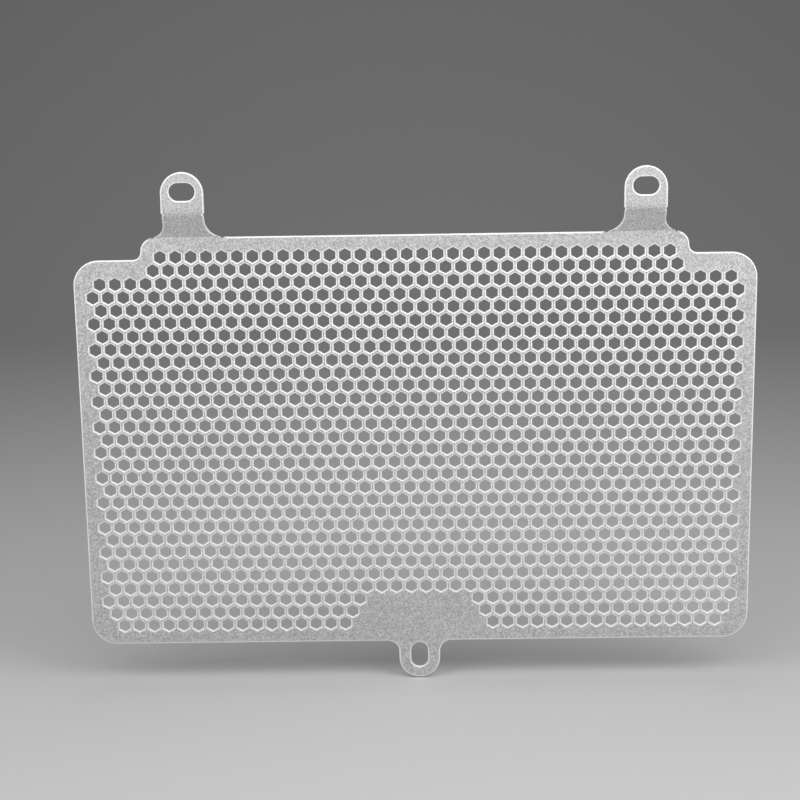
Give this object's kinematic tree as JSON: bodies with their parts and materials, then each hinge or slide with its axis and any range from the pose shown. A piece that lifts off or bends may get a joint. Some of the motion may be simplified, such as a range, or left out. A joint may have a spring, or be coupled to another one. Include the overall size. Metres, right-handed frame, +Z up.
{
  "type": "motorcycle radiator guard",
  "caption": "Flat perforated sheet-metal guard with hexagonal holes, two stepped slotted ears at the top and one flat slotted ear at the bottom.",
  "frame": {"origin": "midway between the centres of the two upper slots, on the back faces of their ears", "axes": "+X along the guard's width, +Y from the front of the guard towards the radiator, +Z up"},
  "size_m": [0.3108, 0.0075, 0.2422],
  "materials": {
    "guard_sheet": "fine bead-blasted, satin silver, with bright laser-cut edges"
  },
  "bodies": {
    "root": {"guard_plate": "guard_sheet"}
  },
  "joints": []
}
